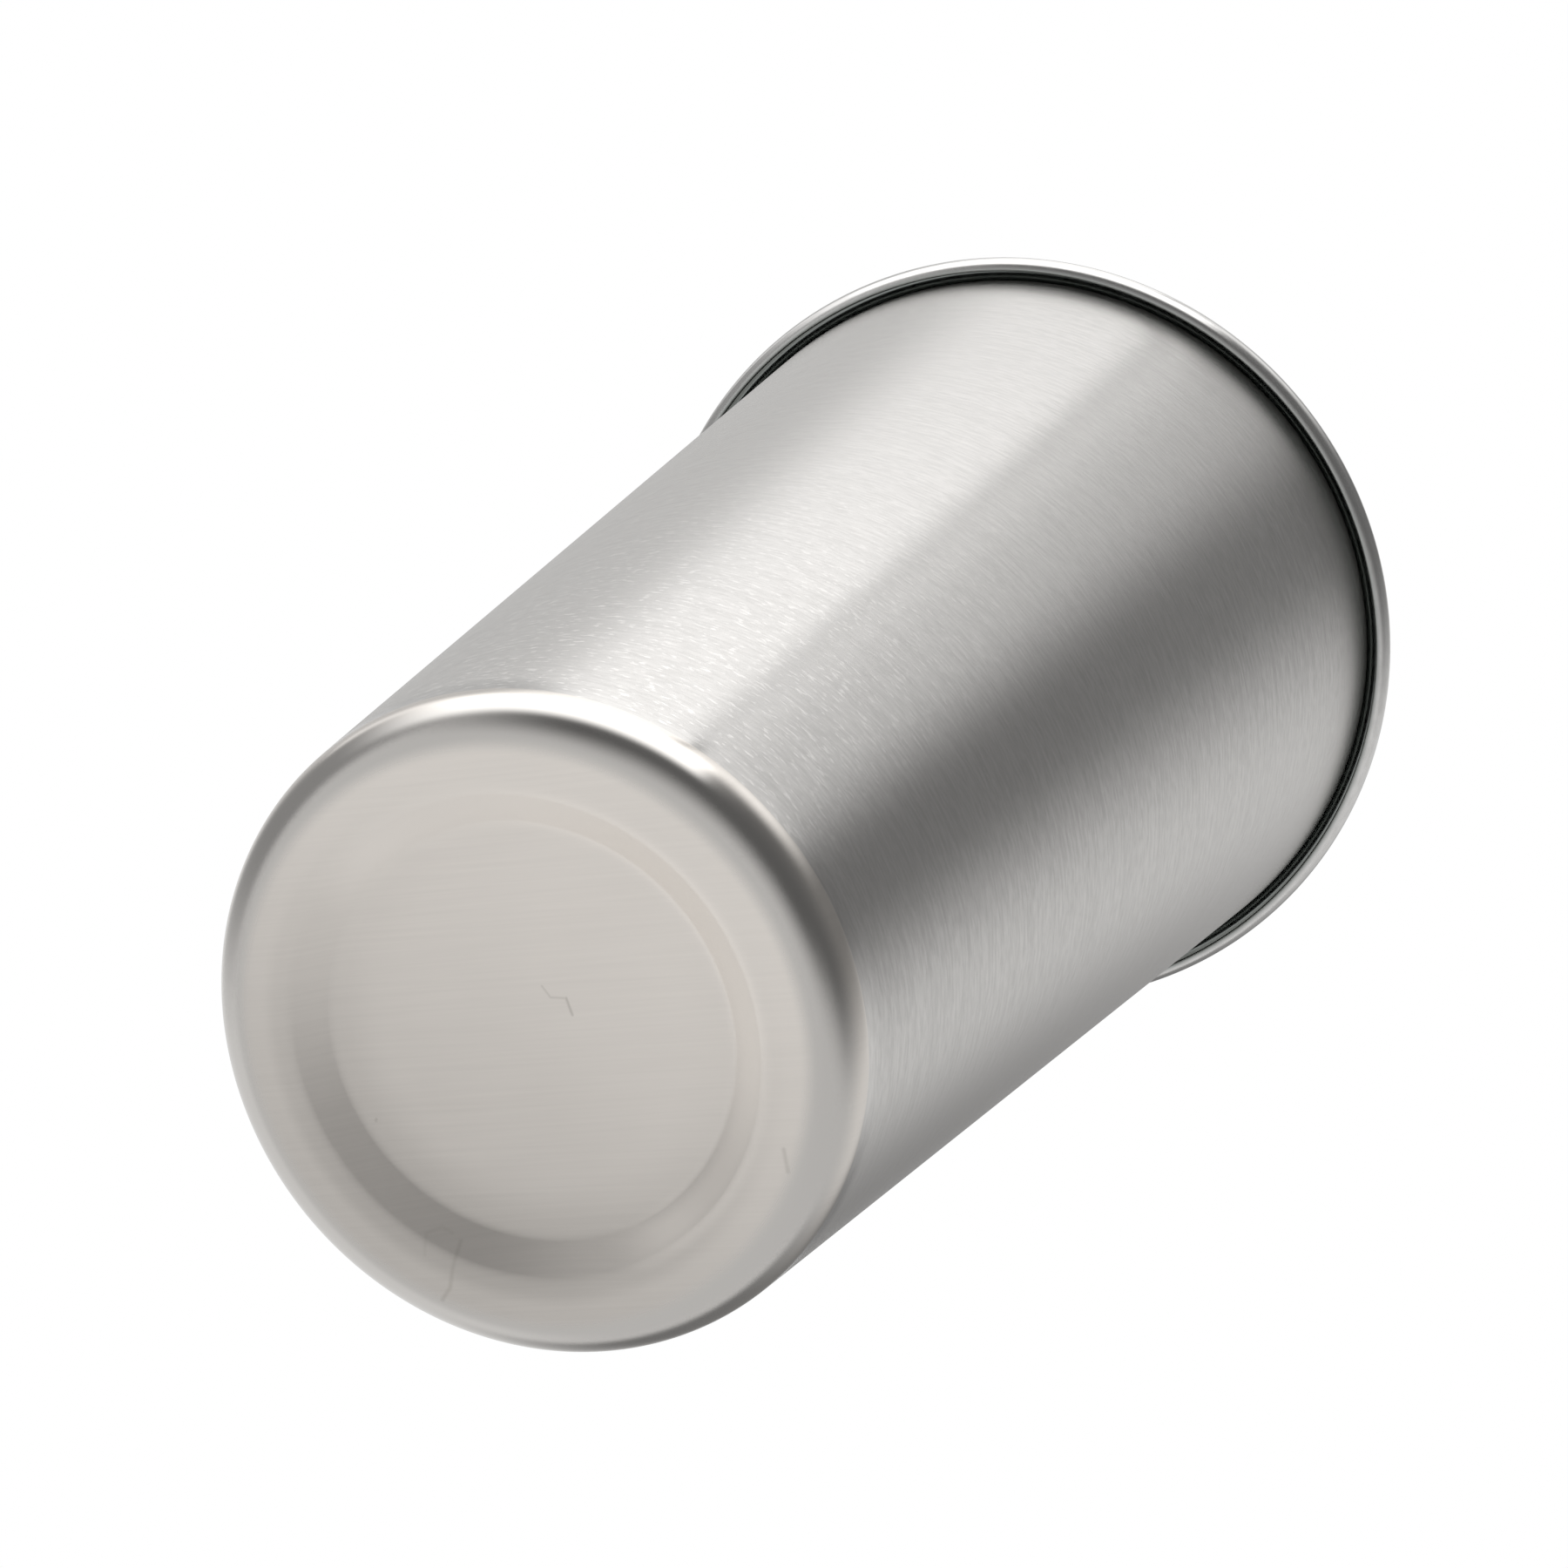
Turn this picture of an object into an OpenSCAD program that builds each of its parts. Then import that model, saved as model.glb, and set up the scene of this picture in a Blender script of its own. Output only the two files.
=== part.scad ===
// Stainless steel pint cup: a tapered single wall, a rolled rim and a recessed base.
// The real cup is drawn from one sheet. Its three formed zones are kept as separate solids,
// which meet face to face where a bend ends and a straight run begins.
// The cup stands on z = 0, and its axis is the Z axis. Sizes are in millimetres.

/* [Cup] */
// Overall height, from the table to the top of the rim
height = 148.6; // [115:0.2:185]
// Outside diameter of the rolled rim
rim_d = 88; // [78:1:108]
// Diameter of the wall's outer face where it would meet the table
base_d = 52.3; // [42:0.1:64]
// Thickness of the sheet
sheet_t = 0.6; // [0.4:0.1:1]

/* [Rolled rim] */
// Outside diameter of the bead's section
bead_d = 3.2; // [2.6:0.1:4.4]
// Open gap between the bead's cut edge and the wall
bead_gap = 1.4; // [0.5:0.1:1.6]

/* [Base] */
// Outer radius of the corner between the wall and the base
corner_r = 4; // [3:0.5:6]
// Width of the flat ring that the cup stands on
foot_w = 1.9; // [0.8:0.1:3]
// Depth of the recess under the base
recess_depth = 2.2; // [1:0.1:2.8]
// Slope of the recess's side, in degrees
recess_slope = 32; // [25:1:45]
// Radius of the two bends of the recess's side, on the middle of the sheet
recess_bend_r = 2.6; // [1:0.1:3.5]

/* [Hidden] */
$fn = 180;

half_t = sheet_t / 2;
// By how much the base's bends reach past their straight runs, so that the two always cross
hair = 0.0002;

// Rolled bead: its centre is set by the rim's diameter and the cup's height.
// It turns on from the wall, in degrees, until its cut edge leaves the open gap.
bead_r = bead_d / 2;
bead_inner_r = bead_r - sheet_t;
bead_centre = [rim_d / 2 - bead_r, height - bead_r];
bead_turn = 180 + acos((bead_gap - bead_inner_r) / bead_r);

// The wall leaves the table at base_d and runs past the bead's centre at the bead's inner radius,
// so its inner face flows into the bead. This is its angle to the axis.
wall_reach = bead_centre - [base_d / 2, 0];
wall_angle = acos(bead_inner_r / norm(wall_reach)) - atan2(wall_reach.y, wall_reach.x);
wall_normal = [cos(wall_angle), -sin(wall_angle)];

// Corner: tangent to the table and to the wall's outer face.
corner_centre = [base_d / 2 - corner_r * (1 - sin(wall_angle)) / cos(wall_angle), corner_r];

// Middle of the sheet at the two ends of the wall's straight run.
wall_foot = corner_centre + (corner_r - half_t) * wall_normal;
wall_head = bead_centre - (bead_r - half_t) * wall_normal;

// Recess: foot ring, bend, sloping side, bend and floor, counted from the corner inwards.
foot_outer = corner_centre.x;
foot_inner = foot_outer - foot_w;
slope_run = (recess_depth - 2 * recess_bend_r * (1 - cos(recess_slope))) / sin(recess_slope);
slope_bend_outer = [foot_inner, half_t + recess_bend_r];
slope_foot = slope_bend_outer + recess_bend_r * [cos(270 - recess_slope), sin(270 - recess_slope)];
slope_head = slope_foot + slope_run * [-cos(recess_slope), sin(recess_slope)];
slope_bend_inner = slope_head - recess_bend_r * [cos(90 - recess_slope), sin(90 - recess_slope)];
floor_edge = slope_bend_inner + [0, recess_bend_r];

// Profile pieces

// Wedge from the origin between two angles, long enough to hold a bend of radius r.
module wedge(r, from, to) {
    steps = ceil((to - from) / 30);
    rays = [for (i = [0:steps]) from + (to - from) * i / steps];
    polygon(concat([[0, 0]], [for (a = rays) 2 * r * [cos(a), sin(a)]]));
}

// Sheet bent round a centre, with radius r on its middle, between two angles.
module sheet_bend(centre, r, from, to) {
    translate(centre) intersection() {
        difference() {
            circle(r + half_t);
            circle(r - half_t);
        }
        wedge(r + half_t, from, to);
    }
}

// Straight sheet whose middle runs from one point to another.
module sheet_run(start, end) {
    along = (end - start) / norm(end - start);
    across = half_t * [-along.y, along.x];
    polygon([start - across, end - across, end + across, start + across]);
}

// Everything above one face of the base's sheet, out to the corner. The face lies at a distance
// from the sheet's middle, which is negative for the outer face. A bend that curves up is added
// as a disc and one that curves down is cut out, each a hair larger than its straight runs need.
module above_base_face(side) {
    slope_normal = [sin(recess_slope), cos(recess_slope)];
    inside_top = 3 * corner_r;
    difference() {
        polygon([
            [0, inside_top],
            [0, floor_edge.y + side],
            [floor_edge.x, floor_edge.y + side],
            slope_bend_inner,
            slope_head + side * slope_normal,
            slope_foot + side * slope_normal,
            [foot_inner, half_t + side],
            [foot_outer, half_t + side],
            [foot_outer, inside_top]
        ]);
        translate(slope_bend_inner) circle(recess_bend_r + side + hair);
    }
    translate(slope_bend_outer) circle(recess_bend_r - side + hair);
    translate(corner_centre) circle(corner_r - half_t - side + hair);
}

// Everything below the line where the corner ends and the wall begins.
module below_wall() {
    at_axis = corner_centre - corner_centre.x / wall_normal.x * wall_normal;
    outside = corner_centre + 2 * corner_r * wall_normal;
    polygon([at_axis, [0, -corner_r], [outside.x, -corner_r], outside]);
}

// Sub-parts

// Base: recessed floor, foot ring and the round corner that leads up to the wall.
module cup_base() {
    color("silver") rotate_extrude() intersection() {
        difference() {
            above_base_face(-half_t);
            above_base_face(half_t);
        }
        below_wall();
    }
}

// Wall: the straight tapered run between the corner and the bead.
module cup_wall() {
    color("lightgray") rotate_extrude() sheet_run(wall_foot, wall_head);
}

// Rim: the wall's top edge rolled outwards and down, with a gap at its cut edge.
module rolled_rim() {
    bead_start = 180 - wall_angle;
    color("whitesmoke") rotate_extrude()
        sheet_bend(bead_centre, bead_r - half_t, bead_start - bead_turn, bead_start);
}

cup_base();
cup_wall();
rolled_rim();
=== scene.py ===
# Looks of the stainless steel pint cup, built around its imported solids. Sizes are in metres.
import math

import bpy
from mathutils import Matrix, Vector


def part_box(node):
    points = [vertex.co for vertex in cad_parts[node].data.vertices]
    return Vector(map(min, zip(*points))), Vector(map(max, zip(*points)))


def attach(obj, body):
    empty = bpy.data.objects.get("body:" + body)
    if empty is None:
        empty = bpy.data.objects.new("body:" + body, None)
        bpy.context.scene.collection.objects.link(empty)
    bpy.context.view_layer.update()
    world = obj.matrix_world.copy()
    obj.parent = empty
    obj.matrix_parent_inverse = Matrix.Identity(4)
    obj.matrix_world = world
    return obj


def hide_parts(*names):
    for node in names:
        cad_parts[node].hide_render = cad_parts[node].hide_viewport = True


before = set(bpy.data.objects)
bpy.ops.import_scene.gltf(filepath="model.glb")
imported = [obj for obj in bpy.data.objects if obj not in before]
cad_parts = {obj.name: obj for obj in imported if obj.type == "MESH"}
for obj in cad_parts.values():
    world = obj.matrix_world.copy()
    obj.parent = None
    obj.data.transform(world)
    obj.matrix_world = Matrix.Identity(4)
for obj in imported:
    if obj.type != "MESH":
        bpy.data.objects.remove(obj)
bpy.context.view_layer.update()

# Sizes of the cup. The height and the rim come from the frame, the rest repeat the part's own values.
MM = 0.001
RIM_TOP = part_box("rolled_rim")[1]
HEIGHT = RIM_TOP.z
RIM_R = RIM_TOP.x
SHEET = 0.6 * MM
BEAD_R = 1.6 * MM
BEAD_GAP = 1.4 * MM
BASE_R = 26.15 * MM
CORNER_R = 4.0 * MM
FOOT_W = 1.9 * MM
RECESS_DEPTH = 2.2 * MM
RECESS_SLOPE = math.radians(32)
RECESS_BEND_R = 2.6 * MM
# The bead's cut edge is rounded by this radius, so it catches light as sheared sheet does.
CUT_EDGE_R = 0.2 * MM

# Fineness of the meshes
TURN_STEPS = 288
ARC_STEP = math.radians(3)
RUN_STEP = 6.0 * MM
CUT_EDGE_STEPS = 4
# Points that are nearer to each other than this are one point.
SAME_POINT = 1e-9

HALF = SHEET / 2
QUARTER_TURN = math.pi / 2


# Profile of the sheet, as stations: points on its middle, each with the normal of its outer face

def polar(radius, angle):
    return Vector((radius * math.cos(angle), radius * math.sin(angle)))


def bend(centre, radius, start, stop):
    """Stations round a bend. Turning clockwise puts the outer face on the side of the centre."""
    steps = max(2, math.ceil(abs(stop - start) / ARC_STEP))
    side = 1 if stop > start else -1
    angles = [start + (stop - start) * k / steps for k in range(steps + 1)]
    return [(centre + polar(radius, a), side * polar(1, a)) for a in angles]


def straight(start, stop):
    """Stations along a straight run. The outer face is on the right of the way along it."""
    heading = (stop - start).normalized()
    normal = Vector((heading.y, -heading.x))
    steps = max(1, math.ceil((stop - start).length / RUN_STEP))
    return [(start.lerp(stop, k / steps), normal) for k in range(steps + 1)]


def joined(*paths):
    """One smooth path from several that meet end to end."""
    stations = list(paths[0])
    for path in paths[1:]:
        stations += path[1:]
    return stations


def face(path, side):
    """Stations of the outer face for side 1, or of the inner face, run backwards, for side -1."""
    moved = [(point + side * HALF * normal, side * normal) for point, normal in path]
    return moved if side > 0 else moved[::-1]


def cap(path, end):
    """The sheet's flat end, at the end of a path for end 1 or at its start for end -1."""
    point, normal = path[-1] if end > 0 else path[0]
    out = end * Vector((-normal.y, normal.x))
    return [(point + end * HALF * normal, out), (point - end * HALF * normal, out)]


def rounded_cap(path):
    """The sheet's end at the end of a path, with both edges rounded."""
    point, normal = path[-1]
    out = Vector((-normal.y, normal.x))
    quarter = [QUARTER_TURN * k / CUT_EDGE_STEPS for k in range(CUT_EDGE_STEPS + 1)]
    stations = []
    for side, turns in ((1, quarter), (-1, quarter[::-1])):
        centre = point + side * (HALF - CUT_EDGE_R) * normal
        for turn in turns:
            way = side * math.cos(turn) * normal + math.sin(turn) * out
            stations.append((centre + CUT_EDGE_R * way, way))
    return stations


bead_inner_r = BEAD_R - SHEET
bead_centre = Vector((RIM_R - BEAD_R, HEIGHT - BEAD_R))
bead_turn = math.pi + math.acos((BEAD_GAP - bead_inner_r) / BEAD_R)
wall_reach = bead_centre - Vector((BASE_R, 0))
wall_angle = math.acos(bead_inner_r / wall_reach.length) - math.atan2(wall_reach.y, wall_reach.x)
foot_outer = BASE_R - CORNER_R * (1 - math.sin(wall_angle)) / math.cos(wall_angle)
corner_centre = Vector((foot_outer, CORNER_R))
foot_inner = foot_outer - FOOT_W
slope_rise = RECESS_DEPTH - 2 * RECESS_BEND_R * (1 - math.cos(RECESS_SLOPE))
slope_run = slope_rise / math.sin(RECESS_SLOPE)
outer_bend = Vector((foot_inner, HALF + RECESS_BEND_R))
slope_foot = outer_bend + polar(RECESS_BEND_R, -QUARTER_TURN - RECESS_SLOPE)
slope_head = slope_foot + polar(slope_run, math.pi - RECESS_SLOPE)
inner_bend = slope_head - polar(RECESS_BEND_R, QUARTER_TURN - RECESS_SLOPE)
floor_edge = inner_bend + Vector((0, RECESS_BEND_R))

recess_path = joined(
    straight(Vector((0, floor_edge.y)), floor_edge),
    bend(inner_bend, RECESS_BEND_R, QUARTER_TURN, QUARTER_TURN - RECESS_SLOPE),
    straight(slope_head, slope_foot),
    bend(outer_bend, RECESS_BEND_R, -QUARTER_TURN - RECESS_SLOPE, -QUARTER_TURN),
    straight(Vector((foot_inner, HALF)), Vector((foot_outer, HALF))),
)
corner_path = bend(corner_centre, CORNER_R - HALF, -QUARTER_TURN, -wall_angle)
base_path = joined(recess_path, corner_path)
bead_start = math.pi - wall_angle
bead_stop = bead_start - bead_turn + CUT_EDGE_R / (BEAD_R - HALF)
bead_path = bend(bead_centre, BEAD_R - HALF, bead_start, bead_stop)
wall_path = straight(corner_path[-1][0], bead_path[0][0])


# Meshes, turned round the cup's axis

def placed(name, data):
    """A new object in the scene."""
    made = bpy.data.objects.new(name, data)
    bpy.context.scene.collection.objects.link(made)
    return made


def outline(runs):
    """Points of runs that meet end to end, and strips between them.

    A strip holds the numbers of its two points and its normals there, so edges stay sharp where runs meet.
    """
    points = []
    strips = []
    for run in runs:
        for k, (point, normal) in enumerate(run):
            if not points or (point - points[-1]).length > SAME_POINT:
                points.append(point)
            if k:
                strips.append((last, len(points) - 1, last_normal, normal))
            last = len(points) - 1
            last_normal = normal
    if (points[-1] - points[0]).length < SAME_POINT:
        points.pop()
    return points, strips


def swung(flat, turn):
    """A point or a normal of the profile, swung round the axis."""
    return (flat.x * math.cos(turn), flat.x * math.sin(turn), flat.y)


def turned(name, runs):
    """A closed mesh from smooth runs of stations that meet end to end."""
    points, strips = outline(runs)
    turns = [2 * math.pi * j / TURN_STEPS for j in range(TURN_STEPS)]
    vertices = []
    rings = []
    for point in points:
        on_axis = point.x < SAME_POINT
        first = len(vertices)
        vertices += [swung(point, turn) for turn in (turns[:1] if on_axis else turns)]
        rings.append([first + (0 if on_axis else j) for j in range(TURN_STEPS)])
    faces = []
    normals = []
    for low, high, low_normal, high_normal in strips:
        low_ring = rings[low % len(points)]
        high_ring = rings[high % len(points)]
        for j in range(TURN_STEPS):
            n = (j + 1) % TURN_STEPS
            corners = [
                (low_ring[j], low_normal, turns[j]),
                (low_ring[n], low_normal, turns[n]),
                (high_ring[n], high_normal, turns[n]),
                (high_ring[j], high_normal, turns[j]),
            ]
            # A ring on the axis is one vertex, so its faces have three corners.
            if low_ring[j] == low_ring[n]:
                corners.pop(1)
            elif high_ring[j] == high_ring[n]:
                corners.pop(2)
            faces.append([vertex for vertex, normal, turn in corners])
            normals += [swung(normal, turn) for vertex, normal, turn in corners]
    mesh = bpy.data.meshes.new(name)
    mesh.from_pydata(vertices, [], faces)
    mesh.polygons.foreach_set("use_smooth", [True] * len(faces))
    mesh.normals_split_custom_set(normals)
    mesh.validate()
    return placed(name, mesh)


base_runs = [face(base_path, 1), cap(base_path, 1), face(base_path, -1)]
wall_runs = [face(wall_path, 1), cap(wall_path, 1), face(wall_path, -1), cap(wall_path, -1)]
bead_runs = [face(bead_path, 1), rounded_cap(bead_path), face(bead_path, -1), cap(bead_path, -1)]
base = turned("steel_base", base_runs)
wall = turned("steel_wall", wall_runs)
rim = turned("steel_rim", bead_runs)


# Material nodes

def feed(tree, socket, value):
    """Sets a socket to a number or a colour, or links it to another socket."""
    if isinstance(value, bpy.types.NodeSocket):
        tree.links.new(value, socket)
    else:
        socket.default_value = value


def calc(tree, operation, *values):
    made = tree.nodes.new("ShaderNodeMath")
    made.operation = operation
    for socket, value in zip(made.inputs, values):
        feed(tree, socket, value)
    return made.outputs[0]


def product(tree, first, *others):
    for other in others:
        first = calc(tree, "MULTIPLY", first, other)
    return first


def weighted_sum(tree, *terms):
    """Adds up values, each with its weight."""
    total = 0.0
    for value, weight in terms:
        total = calc(tree, "MULTIPLY_ADD", value, weight, total)
    return total


def ease(tree, value, start, stop, low=0.0, high=1.0):
    """Goes smoothly from low, where the value is at start, to high, where it is at stop."""
    made = tree.nodes.new("ShaderNodeMapRange")
    made.interpolation_type = "SMOOTHSTEP"
    for socket, number in zip(made.inputs, (value, start, stop, low, high)):
        feed(tree, socket, number)
    return made.outputs[0]


def ease_from(tree, value, origin, span):
    """Goes smoothly from 0 to 1 across a span that is counted from an origin."""
    return ease(tree, value, origin + span[0], origin + span[1])


def blend(tree, factor, first, second):
    """Mixes two colours or two numbers. The second decides which."""
    made = tree.nodes.new("ShaderNodeMix")
    is_colour = isinstance(second, tuple)
    made.data_type = "RGBA" if is_colour else "FLOAT"
    sockets = [socket for socket in made.inputs if socket.enabled]
    for socket, value in zip(sockets, (factor, first, second)):
        feed(tree, socket, value)
    return next(socket for socket in made.outputs if socket.enabled)


def grain(tree, place, size, turn=0.0, detail=2.0):
    """Noise whose grains have a size along X, Y and Z, turned round Z."""
    mapping = tree.nodes.new("ShaderNodeMapping")
    mapping.vector_type = "TEXTURE"
    mapping.inputs["Rotation"].default_value = (0, 0, turn)
    mapping.inputs["Scale"].default_value = size
    tree.links.new(place, mapping.inputs["Vector"])
    noise = tree.nodes.new("ShaderNodeTexNoise")
    noise.inputs["Scale"].default_value = 1
    noise.inputs["Detail"].default_value = detail
    tree.links.new(mapping.outputs[0], noise.inputs["Vector"])
    return noise.outputs["Fac"]


def bumps(tree, height, depth):
    """Normals of a surface whose height goes from 0 to a depth."""
    made = tree.nodes.new("ShaderNodeBump")
    made.inputs["Distance"].default_value = depth
    tree.links.new(height, made.inputs["Height"])
    return made.outputs[0]


def vector_calc(tree, operation, *values):
    made = tree.nodes.new("ShaderNodeVectorMath")
    made.operation = operation
    for socket, value in zip(made.inputs, values):
        feed(tree, socket, value)
    return made


def along(tree, place, way):
    """How far a place lies along a way from the origin."""
    return vector_calc(tree, "DOT_PRODUCT", place, way).outputs["Value"]


def height_of(tree, place):
    return along(tree, place, (0, 0, 1))


def flattened(tree, place):
    """A place moved along Z onto the table."""
    return vector_calc(tree, "MULTIPLY", place, (1, 1, 0)).outputs["Vector"]


def radius_of(tree, place):
    return vector_calc(tree, "LENGTH", flattened(tree, place)).outputs["Value"]


def distance_to(tree, flat, start, stop):
    """Distance of a place on the table from the straight line between two points."""
    reach = vector_calc(tree, "SUBTRACT", flat, (*start, 0)).outputs["Vector"]
    line = stop - start
    share = calc(tree, "DIVIDE", along(tree, reach, (*line, 0)), line.length_squared)
    share = calc(tree, "MINIMUM", calc(tree, "MAXIMUM", share, 0.0), 1.0)
    nearest = vector_calc(tree, "SCALE", (*line, 0))
    feed(tree, nearest.inputs["Scale"], share)
    return vector_calc(tree, "DISTANCE", reach, nearest.outputs["Vector"]).outputs["Value"]


def metal(name):
    material = bpy.data.materials.new(name)
    material.use_nodes = True
    tree = material.node_tree
    shader = tree.nodes["Principled BSDF"]
    shader.inputs["Metallic"].default_value = 1
    place = tree.nodes.new("ShaderNodeTexCoord").outputs["Object"]
    return material, tree, shader, place


def faded_material(name, solid_of, shader_type):
    """A material of one plain shader. It is clear where the value that solid_of makes in its tree is 0."""
    material = bpy.data.materials.new(name)
    material.use_nodes = True
    tree = material.node_tree
    tree.nodes.clear()
    shader = tree.nodes.new(shader_type)
    clear = tree.nodes.new("ShaderNodeBsdfTransparent")
    mix = tree.nodes.new("ShaderNodeMixShader")
    tree.links.new(solid_of(tree), mix.inputs[0])
    tree.links.new(clear.outputs[0], mix.inputs[1])
    tree.links.new(shader.outputs[0], mix.inputs[2])
    tree.links.new(mix.outputs[0], tree.nodes.new("ShaderNodeOutputMaterial").inputs["Surface"])
    return material, shader


# Hairlines of the wall and the rim: their size, and the range of the noise's values across which
# one colour or roughness goes over into another

HAIRLINE = Vector((1.5, 1.5, 0.32)) * MM
NOISE_RANGE = (0.3, 0.7)


# Wall: short hairlines that run round the cup spread its reflections along the height.
# Near the base, on the side facing the key light, some of them carry painted glints.

WALL_DARK = (0.69, 0.675, 0.655, 1)
WALL_LIGHT = (0.79, 0.772, 0.75, 1)
WALL_ROUGH = (0.27, 0.23)
LONG_HAIRLINE = Vector((9, 9, 0.5)) * MM
LONG_SHARE = 0.4
HAIRLINE_DEPTH = 0.0025 * MM
# Highlights are stretched across the hairlines. The turn is in parts of a full one.
STRETCH = 0.88
STRETCH_TURN = 0.25
# The lowest part of the wall is smooth, like the corner below it.
SMOOTH_ROUGH = 0.13
SMOOTH_TOP = 6.5 * MM
# The painted glints thin out up to a height, and away from a side, by the cosine of the angle to it.
WALL_PAINTED_GLINT = (0.95, 0.93, 0.905, 1)
GLINT = Vector((0.9, 0.9, 0.36)) * MM
GLINT_RANGE = (0.56, 0.74)
GLINT_TOP = 95 * MM
PAINTED_GLINT_SIDE = (-0.6, -0.8, 0)
GLINT_SPREAD = (0.6, 0.95)


def wall_steel():
    material, tree, shader, place = metal("wall_steel")
    height = height_of(tree, place)
    hairlines = grain(tree, place, HAIRLINE)
    streaks = blend(tree, LONG_SHARE, hairlines, grain(tree, place, LONG_HAIRLINE))
    colour = blend(tree, ease(tree, streaks, *NOISE_RANGE), WALL_DARK, WALL_LIGHT)
    outwards = vector_calc(tree, "NORMALIZE", flattened(tree, place)).outputs["Vector"]
    # Painted glints: a light colour in place of highlights, near the base on the side facing the key
    # light.
    painted_glints = product(
        tree,
        ease(tree, grain(tree, place, GLINT, detail=1), *GLINT_RANGE),
        ease(tree, height, GLINT_TOP, 0),
        ease(tree, along(tree, outwards, PAINTED_GLINT_SIDE), *GLINT_SPREAD),
    )
    feed(tree, shader.inputs["Base Color"], blend(tree, painted_glints, colour, WALL_PAINTED_GLINT))
    brushed = ease(tree, streaks, *NOISE_RANGE, *WALL_ROUGH)
    smooth = ease(tree, height, SMOOTH_TOP, CORNER_R - HALF)
    feed(tree, shader.inputs["Roughness"], blend(tree, smooth, brushed, SMOOTH_ROUGH))
    feed(tree, shader.inputs["Normal"], bumps(tree, hairlines, HAIRLINE_DEPTH))
    shader.inputs["Anisotropic"].default_value = STRETCH
    shader.inputs["Anisotropic Rotation"].default_value = STRETCH_TURN
    tangent = tree.nodes.new("ShaderNodeTangent")
    tangent.direction_type = "RADIAL"
    tangent.axis = "Z"
    tree.links.new(tangent.outputs[0], shader.inputs["Tangent"])
    return material


# Base: faint straight brushing and a few marks of wear on the flat part, smoother on the rounded corner,
# with painted light and painted shade.
# Its tone goes from dark at 0 to light at 1, and each share says how much a cause adds to it.

BASE_DARK = (0.515, 0.488, 0.458, 1)
BASE_LIGHT = (0.945, 0.896, 0.841, 1)
FLAT_ROUGH = 0.36
CLOUD = Vector((9, 9, 9)) * MM
CLOUD_SHARE = 0.09
BRUSH = Vector((14, 0.3, 14)) * MM
BRUSH_TURN = math.radians(-58)
BRUSH_SHARE = 0.15
# One side of the base carries painted light, brightest along this line and fading out as far as this from
# it.
PAINTED_LIGHT_LINE = (Vector((-26, -12)) * MM, Vector((4, -27)) * MM)
PAINTED_LIGHT_REACH = 60 * MM
PAINTED_LIGHT_SHARE = 0.76
# Elsewhere painted shade darkens the recess. Its start is counted from the edge of the recess's floor,
# and its end from the inner edge of the foot ring.
PAINTED_SHADE_SHARE = -0.28
PAINTED_SHADE_START = (-4 * MM, 1 * MM)
PAINTED_SHADE_END = (1 * MM, -0.5 * MM)
# The recess's slope carries painted light on the side of -Y, which changes across this span of Y. Its
# start and its end are counted as the painted shade's are.
SLOPE_PAINTED_LIGHT = (0.89, 0.844, 0.792, 1)
SLOPE_SIDE = (7 * MM, -1 * MM)
SLOPE_START = (0.3 * MM, 2.3 * MM)
SLOPE_END = (-0.2 * MM, -2.2 * MM)
# The corner's start is counted from the outer edge of the foot ring. Its lower part carries painted shade,
# which changes across this span of heights.
CORNER_PAINTED_SHADE = (0.64, 0.62, 0.595, 1)
CORNER_ROUGH = 0.16
CORNER_START = (-0.3 * MM, 1.2 * MM)
CORNER_SHADE_TOP = (2.8 * MM, 1.2 * MM)
# Marks of wear. Each is a bent line on the base, in millimetres, with half its width and its strength.
BASE_MARK = (0.42, 0.395, 0.36, 1)
MARKS = (
    (((-2.14, -3.35), (-1.06, -3.31), (-0.26, -4.31)), 0.16, 0.28),
    (((-0.26, -4.31), (1.00, -3.81)), 0.20, 0.45),
    (((9.12, 15.8), (10.07, 17.0), (11.38, 18.6), (11.75, 19.9)), 0.30, 0.40),
    (((8.15, 18.5), (6.93, 17.5), (7.34, 16.4), (8.22, 16.0)), 0.25, 0.22),
    (((-2.37, 15.5), (-2.30, 15.6)), 0.22, 0.45),
    (((18.6, -11.6), (20.1, -10.7)), 0.30, 0.30),
)


def wear(tree, flat):
    """How strongly a place on the base is marked."""
    total = 0.0
    for points, half_width, strength in MARKS:
        ends = [Vector(point) * MM for point in points]
        nearest = 1.0
        for start, stop in zip(ends, ends[1:]):
            nearest = calc(tree, "MINIMUM", distance_to(tree, flat, start, stop), nearest)
        total = calc(tree, "MAXIMUM", ease(tree, nearest, half_width * MM, 0, 0, strength), total)
    return total


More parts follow.
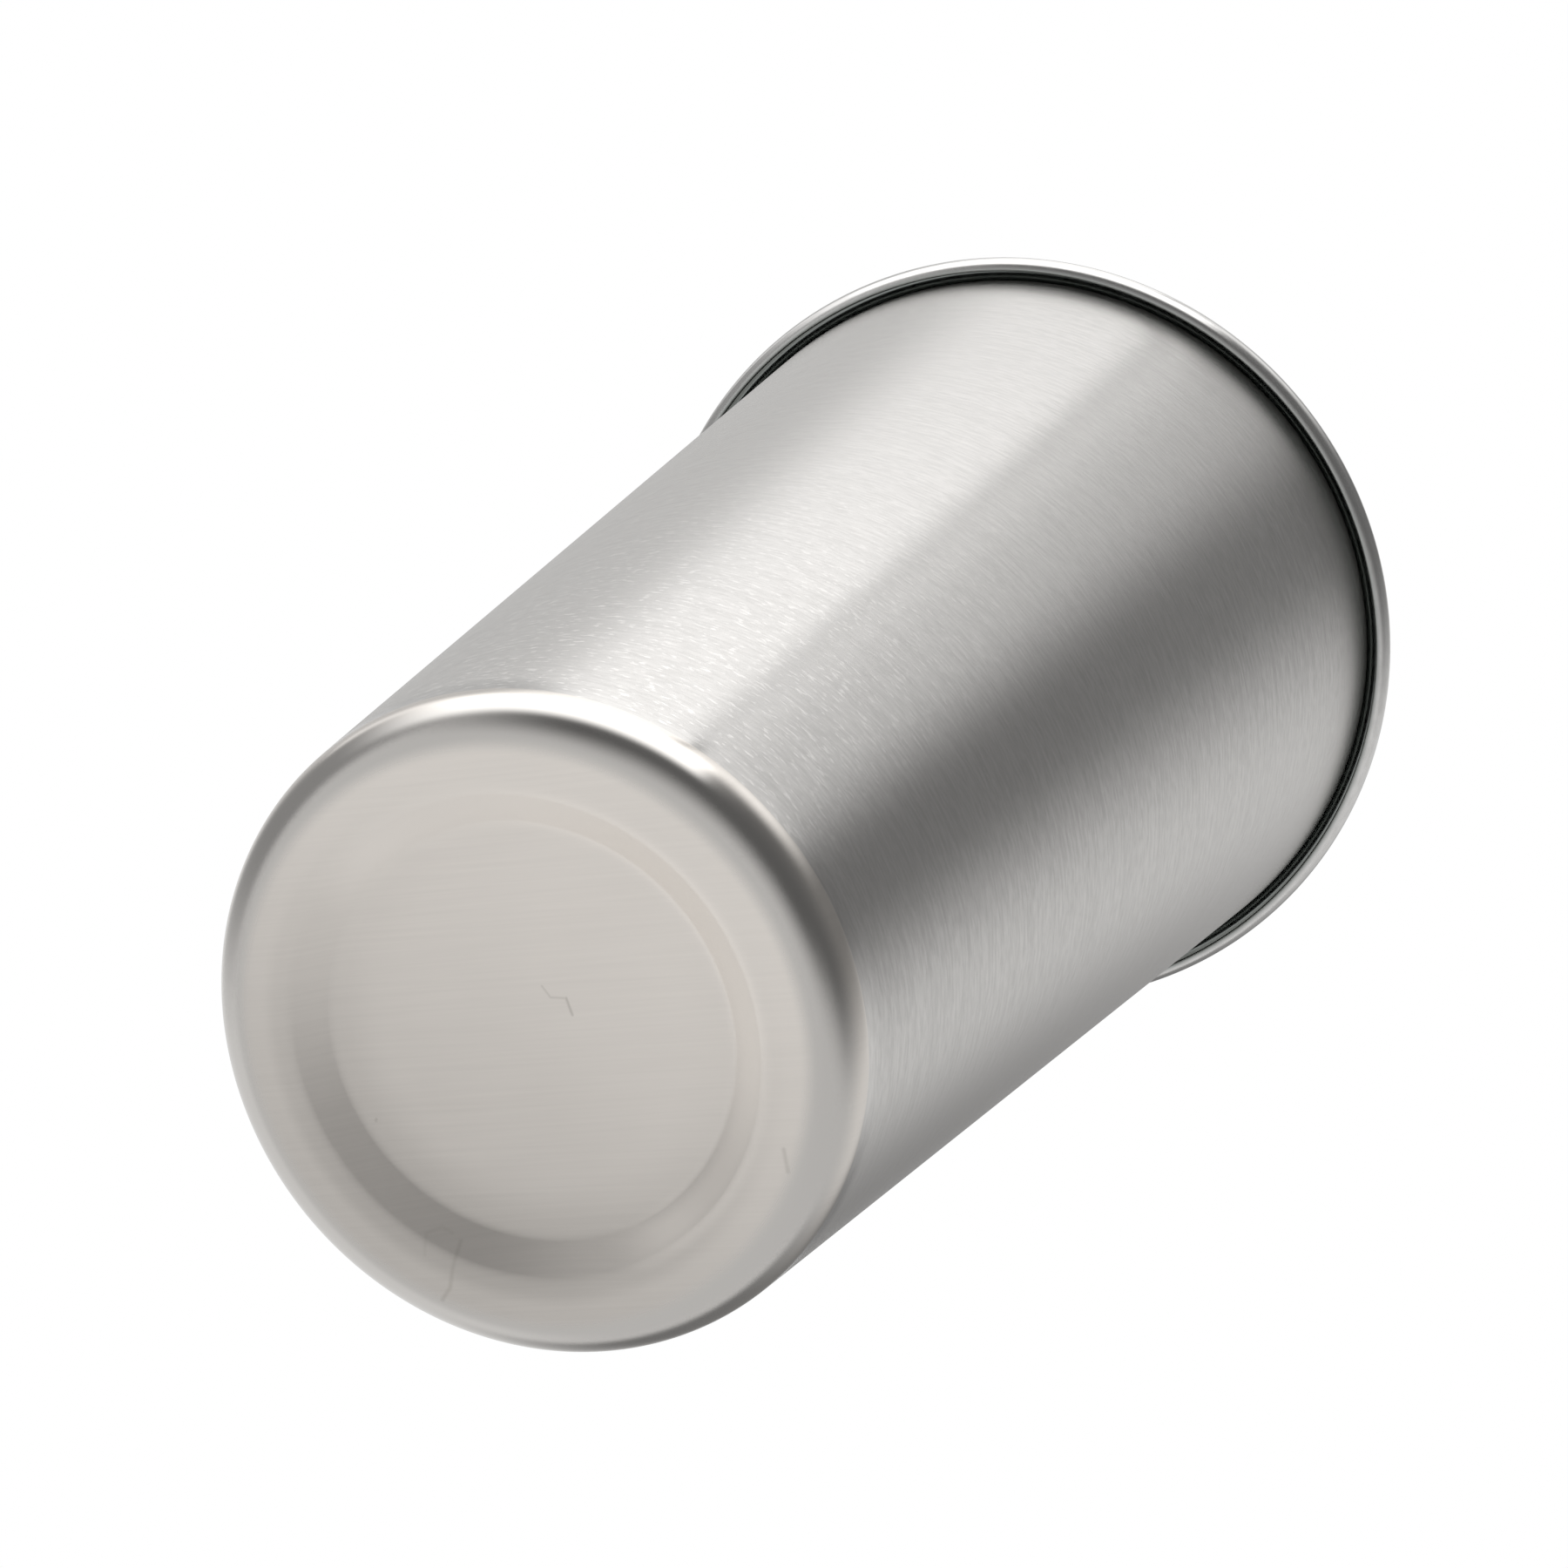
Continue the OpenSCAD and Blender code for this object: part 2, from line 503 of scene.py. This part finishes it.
def base_steel():
    material, tree, shader, place = metal("base_steel")
    flat = flattened(tree, place)
    radius = radius_of(tree, place)
    height = height_of(tree, place)
    # Painted light, brightest along a line on one side of the base.
    painted_light = ease(tree, distance_to(tree, flat, *PAINTED_LIGHT_LINE), PAINTED_LIGHT_REACH, 0)
    # Painted shade in the recess, away from the side with painted light.
    painted_shade = product(
        tree,
        ease_from(tree, radius, floor_edge.x, PAINTED_SHADE_START),
        ease_from(tree, radius, foot_inner, PAINTED_SHADE_END),
        calc(tree, "SUBTRACT", 1.0, painted_light),
    )
    tone = weighted_sum(
        tree,
        (grain(tree, place, CLOUD), CLOUD_SHARE),
        (grain(tree, place, BRUSH, turn=BRUSH_TURN), BRUSH_SHARE),
        (painted_light, PAINTED_LIGHT_SHARE),
        (painted_shade, PAINTED_SHADE_SHARE),
    )
    # Painted light on the recess's slope, on the side of -Y.
    painted_slope_light = product(
        tree,
        ease_from(tree, radius, floor_edge.x, SLOPE_START),
        ease_from(tree, radius, foot_inner, SLOPE_END),
        ease(tree, along(tree, place, (0, 1, 0)), *SLOPE_SIDE),
    )
    on_corner = ease_from(tree, radius, foot_outer, CORNER_START)
    # Painted shade on the lower part of the corner.
    painted_corner_shade = product(tree, on_corner, ease(tree, height, *CORNER_SHADE_TOP))
    outer_face = ease(tree, height, RECESS_DEPTH + HALF, RECESS_DEPTH)
    colour = blend(tree, tone, BASE_DARK, BASE_LIGHT)
    colour = blend(tree, painted_slope_light, colour, SLOPE_PAINTED_LIGHT)
    colour = blend(tree, painted_corner_shade, colour, CORNER_PAINTED_SHADE)
    colour = blend(tree, product(tree, wear(tree, flat), outer_face), colour, BASE_MARK)
    feed(tree, shader.inputs["Base Color"], colour)
    feed(tree, shader.inputs["Roughness"], blend(tree, on_corner, FLAT_ROUGH, CORNER_ROUGH))
    return material


# Rim: the rolled edge is smoother than the wall, with painted shade inside the roll

RIM_DARK = (0.74, 0.73, 0.715, 1)
RIM_LIGHT = (0.80, 0.79, 0.775, 1)
RIM_ROUGH = (0.22, 0.16)
ROLL_PAINTED_SHADE = (0.30, 0.32, 0.31, 1)
# The change to painted shade starts and ends this far inside the sheet's two faces.
ROLL_SOFT = 0.1 * MM
# By the cut edge the outside carries painted shade too, which changes across these spans, counted from the
# bead's centre.
EDGE_ACROSS = (0.9 * MM, 0.2 * MM)
EDGE_ABOVE = (-0.6 * MM, -1.2 * MM)


def rim_steel():
    material, tree, shader, place = metal("rim_steel")
    hairlines = grain(tree, place, HAIRLINE)
    colour = blend(tree, ease(tree, hairlines, *NOISE_RANGE), RIM_DARK, RIM_LIGHT)
    across = calc(tree, "SUBTRACT", radius_of(tree, place), bead_centre.x)
    above = calc(tree, "SUBTRACT", height_of(tree, place), bead_centre.y)
    from_centre = calc(tree, "SQRT", weighted_sum(tree, (across, across), (above, above)))
    in_roll = ease(tree, from_centre, BEAD_R - ROLL_SOFT, bead_inner_r + ROLL_SOFT)
    by_edge = product(tree, ease(tree, across, *EDGE_ACROSS), ease(tree, above, *EDGE_ABOVE))
    # Painted shade inside the roll and by its cut edge.
    painted_roll_shade = calc(tree, "MAXIMUM", in_roll, by_edge)
    feed(tree, shader.inputs["Base Color"], blend(tree, painted_roll_shade, colour, ROLL_PAINTED_SHADE))
    feed(tree, shader.inputs["Roughness"], ease(tree, hairlines, *NOISE_RANGE, *RIM_ROUGH))
    return material


base.data.materials.append(base_steel())
wall.data.materials.append(wall_steel())
rim.data.materials.append(rim_steel())

for piece, node, slot in (
    (base, "cup_base", "base_steel"),
    (wall, "cup_wall", "wall_steel"),
    (rim, "rolled_rim", "rim_steel"),
):
    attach(piece, "root")
    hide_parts(node)


# Studio: soft boxes and flags on domes round the cup, which only its reflections see.
# Azimuth is counted from the camera's side towards +X. Angles are in degrees, and a level of 1 is white.
# Each row is a name, an azimuth range, an elevation range, the widths of the soft edges along both
# ranges and a level. A later card stands nearer to the cup, in front of the earlier ones.

ALL_ROUND = (-200, 200)
CARDS = (
    ("surround", ALL_ROUND, (-100, 86), 20, 12, 0.75),
    ("low", ALL_ROUND, (-100, -13), 20, 20, 0.70),
    ("behind", (150, 230), (-25, 50), 20, 20, 0.84),
    ("right_gap", (90, 152), (-3, 67), 28, 20, 0.22),
    ("fill", (21, 102), (-63, 94), 43, 35, 0.68),
    ("front", (-25, 53), (-28, 75), 41, 33, 0.17),
    ("key_patch", (-50, 5), (20, 57), 29, 38, 1.00),
    ("low_front", (-82, 45), (-55, 0), 50, 44, 0.14),
    ("key", (-120, -36), (5, 62), 2, 10, 1.24),
    ("key_frame", (-36, -32), (20, 80), 3, 20, 0.50),
    ("left_gap", (-145, -80), (-22, 78), 25, 15, 0.55),
    ("key_low", (-120, -22), (-14, 30), 5, 20, 1.8),
    ("left_low", (-147, -97), (-28, 28), 34, 20, 0.33),
)
# The first card's distance, and by how much each next one is nearer.
DOME_R = 2.0
DOME_STEP = 0.05
# The longest step of a card's grid, in degrees, and the least number of steps across a soft edge.
CARD_STEP = 4.0
SOFT_STEPS = 3


def cover(angle, span, soft):
    """How much of a card stands at an angle: all of it inside its span, none past its soft edge."""
    inside = min(angle - span[0], span[1] - angle) / soft + 0.5
    inside = min(1, max(0, inside))
    return inside * inside * (3 - 2 * inside)


def card_angles(span, soft, limit):
    """Angles of a card's grid, out to the ends of its soft edges or to a limit."""
    low = max(-limit, span[0] - soft / 2)
    high = min(limit, span[1] + soft / 2)
    steps = math.ceil((high - low) / min(CARD_STEP, soft / SOFT_STEPS))
    return [low + (high - low) * k / steps for k in range(steps + 1)]


def toward(azimuth, elevation):
    """The way to a place on a dome."""
    a = math.radians(azimuth)
    e = math.radians(elevation)
    return Vector((math.cos(e) * math.sin(a), -math.cos(e) * math.cos(a), math.sin(e)))


def card_cover(tree):
    """The value that a card's mesh keeps at each vertex."""
    kept = tree.nodes.new("ShaderNodeAttribute")
    kept.attribute_name = "cover"
    return kept.outputs["Fac"]


def card(name, azimuths, elevations, side_soft, end_soft, level, radius):
    """A patch of a dome that gives light of one level, with soft edges."""
    middle = sum(azimuths) / 2
    about_middle = (azimuths[0] - middle, azimuths[1] - middle)
    turns = [middle + turn for turn in card_angles(about_middle, side_soft, 180)]
    lifts = card_angles(elevations, end_soft, 90)
    vertices = []
    covers = []
    for lift in lifts:
        for turn in turns:
            vertices.append(radius * toward(turn, lift))
            covers.append(cover(turn, azimuths, side_soft) * cover(lift, elevations, end_soft))
    row = len(turns)
    faces = [
        (k * row + j, k * row + j + 1, (k + 1) * row + j + 1, (k + 1) * row + j)
        for k in range(len(lifts) - 1)
        for j in range(row - 1)
    ]
    mesh = bpy.data.meshes.new(name)
    mesh.from_pydata(vertices, [], faces)
    mesh.attributes.new("cover", "FLOAT", "POINT").data.foreach_set("value", covers)
    material, light = faded_material(name, card_cover, "ShaderNodeEmission")
    light.inputs["Strength"].default_value = level
    material.cycles.emission_sampling = "NONE"
    mesh.materials.append(material)
    made = placed(name, mesh)
    made.location.z = HEIGHT / 2
    made.visible_camera = False
    made.visible_diffuse = False
    made.visible_shadow = False


for k, row in enumerate(CARDS):
    card(*row, DOME_R - k * DOME_STEP)


# Floor: a pale disc that fades out, seen only from above. The cup's shadow falls on it.

FLOOR_R = 0.6
FLOOR_FADE = 0.25
FLOOR_DROP = 0.2 * MM
FLOOR_COLOUR = (0.9, 0.9, 0.9, 1)
FLOOR_STEPS = 96


def floor_solid(tree):
    """1 in the middle of the floor, and 0 past its rim or from below."""
    place = tree.nodes.new("ShaderNodeTexCoord").outputs["Object"]
    from_below = tree.nodes.new("ShaderNodeNewGeometry").outputs["Backfacing"]
    in_middle = ease(tree, radius_of(tree, place), FLOOR_R, FLOOR_FADE)
    return product(tree, in_middle, calc(tree, "SUBTRACT", 1.0, from_below))


def floor():
    angles = [2 * math.pi * k / FLOOR_STEPS for k in range(FLOOR_STEPS)]
    mesh = bpy.data.meshes.new("floor")
    mesh.from_pydata([(*polar(FLOOR_R, a), -FLOOR_DROP) for a in angles], [], [list(range(FLOOR_STEPS))])
    material, matt = faded_material("floor", floor_solid, "ShaderNodeBsdfDiffuse")
    matt.inputs["Color"].default_value = FLOOR_COLOUR
    mesh.materials.append(material)
    made = placed("floor", mesh)
    made.visible_diffuse = False
    made.visible_glossy = False
    made.visible_shadow = False


floor()


# Lamp: one soft box above the cup, for its shadow on the floor

LAMP_PLACE = Vector((-0.5, -0.5, 1.0))
LAMP_SIZE = 0.6
LAMP_WATTS = 6


def lamp():
    data = bpy.data.lights.new("soft_box", "AREA")
    data.size = LAMP_SIZE
    data.energy = LAMP_WATTS
    made = placed("soft_box", data)
    made.location = LAMP_PLACE
    made.rotation_euler = LAMP_PLACE.to_track_quat("Z", "Y").to_euler()
    made.visible_glossy = False


lamp()


# World: white where the camera or a reflection sees it, and a plain level where it lights the floor

WORLD_LEVEL = 0.65


def white_world():
    world = bpy.data.worlds.new("studio")
    world.use_nodes = True
    bpy.context.scene.world = world
    tree = world.node_tree
    ray = tree.nodes.new("ShaderNodeLightPath").outputs
    seen = calc(tree, "MAXIMUM", ray["Is Camera Ray"], ray["Is Glossy Ray"])
    seen = calc(tree, "MAXIMUM", seen, ray["Is Transmission Ray"])
    background = tree.nodes["Background"]
    background.inputs["Color"].default_value = (1, 1, 1, 1)
    feed(tree, background.inputs["Strength"], blend(tree, seen, WORLD_LEVEL, 1.0))


white_world()


# Camera, below the cup and to one side, as the photograph looks at the base

CAMERA_PLACE = Vector((0, -124.9, -216.47)) * MM
CAMERA_AIM = Vector((-2.96, 1.82, 73.63)) * MM
CAMERA_ROLL = math.radians(-51.83)
LENS_MM = 75.6
NEAREST_SEEN = 0.01
FARTHEST_SEEN = 20


def photo_camera():
    ahead = (CAMERA_AIM - CAMERA_PLACE).normalized()
    level_up = (Vector((0, 0, 1)) - ahead * ahead.z).normalized()
    up = math.cos(CAMERA_ROLL) * level_up + math.sin(CAMERA_ROLL) * ahead.cross(level_up)
    data = bpy.data.cameras.new("camera")
    data.lens = LENS_MM
    data.clip_start = NEAREST_SEEN
    data.clip_end = FARTHEST_SEEN
    made = placed("camera", data)
    axes = Matrix((ahead.cross(up), up, -ahead)).transposed()
    made.matrix_world = Matrix.Translation(CAMERA_PLACE) @ axes.to_4x4()
    return made


bpy.context.scene.camera = photo_camera()
bpy.context.scene.view_settings.view_transform = "Standard"
